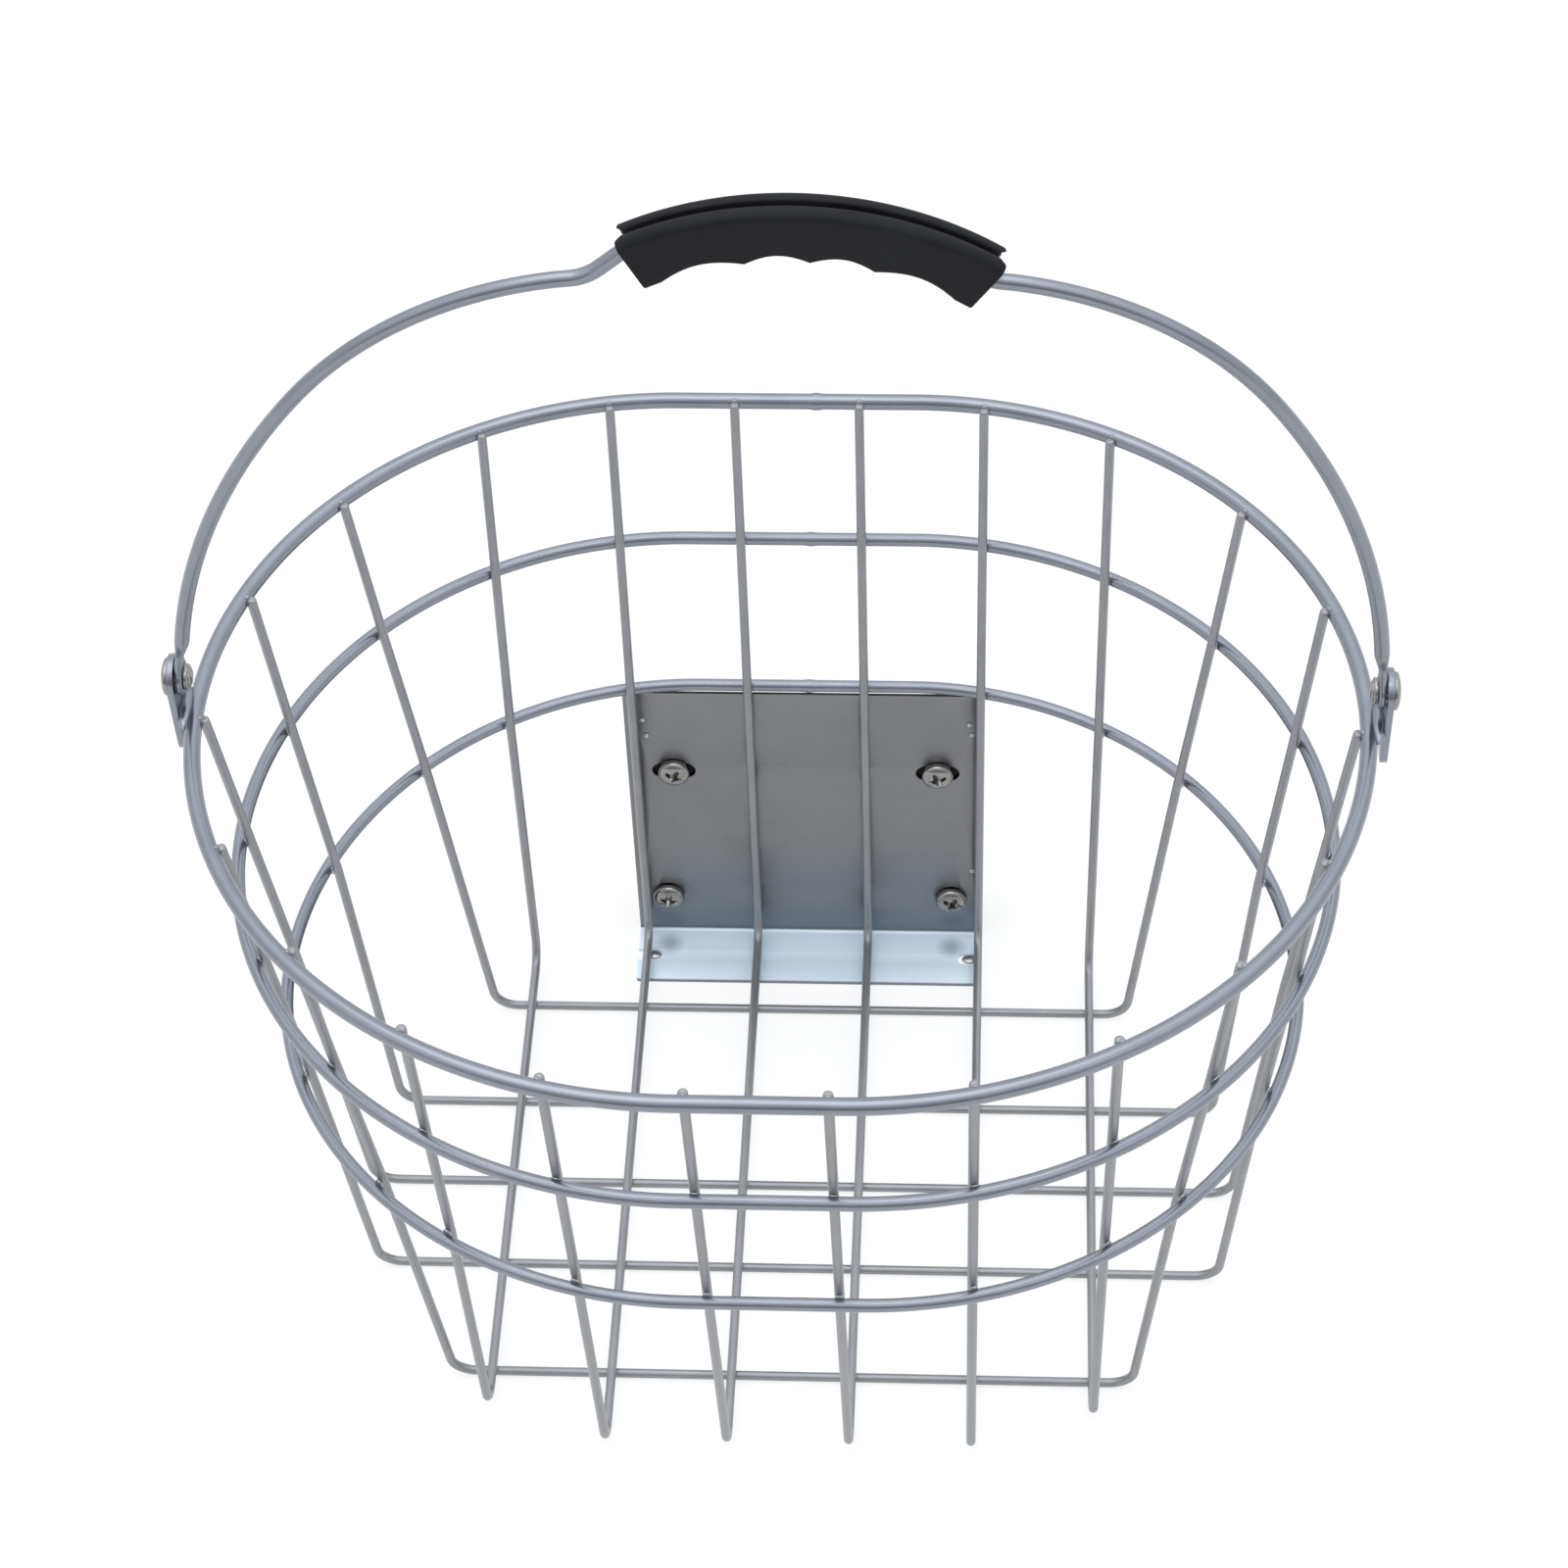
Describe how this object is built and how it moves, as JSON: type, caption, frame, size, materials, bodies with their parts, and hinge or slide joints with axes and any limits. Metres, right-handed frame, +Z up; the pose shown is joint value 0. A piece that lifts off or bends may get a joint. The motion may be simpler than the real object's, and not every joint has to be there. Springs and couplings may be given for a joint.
{
  "type": "bicycle basket",
  "caption": "Wire bicycle basket with an oval rim, a swinging carrying handle with a moulded grip, and a bolted plate and adapter at the back for a handlebar bracket.",
  "frame": {"origin": "middle of the underside of the middle cross wire, on which the basket stands", "axes": "+Z up, +Y towards the handlebar through the back face of the adapter, +X across the basket, along the handle's hinge"},
  "size_m": [0.3672, 0.308, 0.4522],
  "materials": {
    "satin_steel": "satin plated",
    "wire_steel": "dull plated",
    "sheet_steel": "dull plated, brushed across",
    "chrome": "bright plated",
    "zinc": "zinc plated",
    "black_plastic": "fine matt"
  },
  "bodies": {
    "basket": {"rim_ring": "satin_steel", "middle_ring": "satin_steel", "lower_ring": "satin_steel", "long_wire_1": "wire_steel", "long_wire_2": "wire_steel", "long_wire_3": "wire_steel", "long_wire_4": "wire_steel", "long_wire_5": "wire_steel", "long_wire_6": "wire_steel", "cross_wire_1": "wire_steel", "cross_wire_2": "wire_steel", "cross_wire_3": "wire_steel", "cross_wire_4": "wire_steel", "cross_wire_5": "wire_steel", "mounting_plate": "sheet_steel", "bracket_adapter": "black_plastic", "plate_screw_top_left": "chrome", "plate_screw_top_right": "chrome", "plate_screw_bottom_left": "chrome", "plate_screw_bottom_right": "chrome", "plate_nut_top_left": "zinc", "plate_nut_top_right": "zinc", "plate_nut_bottom_left": "zinc", "plate_nut_bottom_right": "zinc", "handle_ear_left": "satin_steel", "handle_ear_right": "satin_steel", "pivot_rivet_left": "chrome", "pivot_rivet_right": "chrome"},
    "handle": {"bail": "satin_steel", "grip": "black_plastic"}
  },
  "joints": [
    {"name": "handle_swing", "type": "hinge", "parent": "basket", "child": "handle", "pos_m": [0, -0.017, 0.2697], "axis": [1, 0, 0], "range_deg": [-94, 94]}
  ]
}
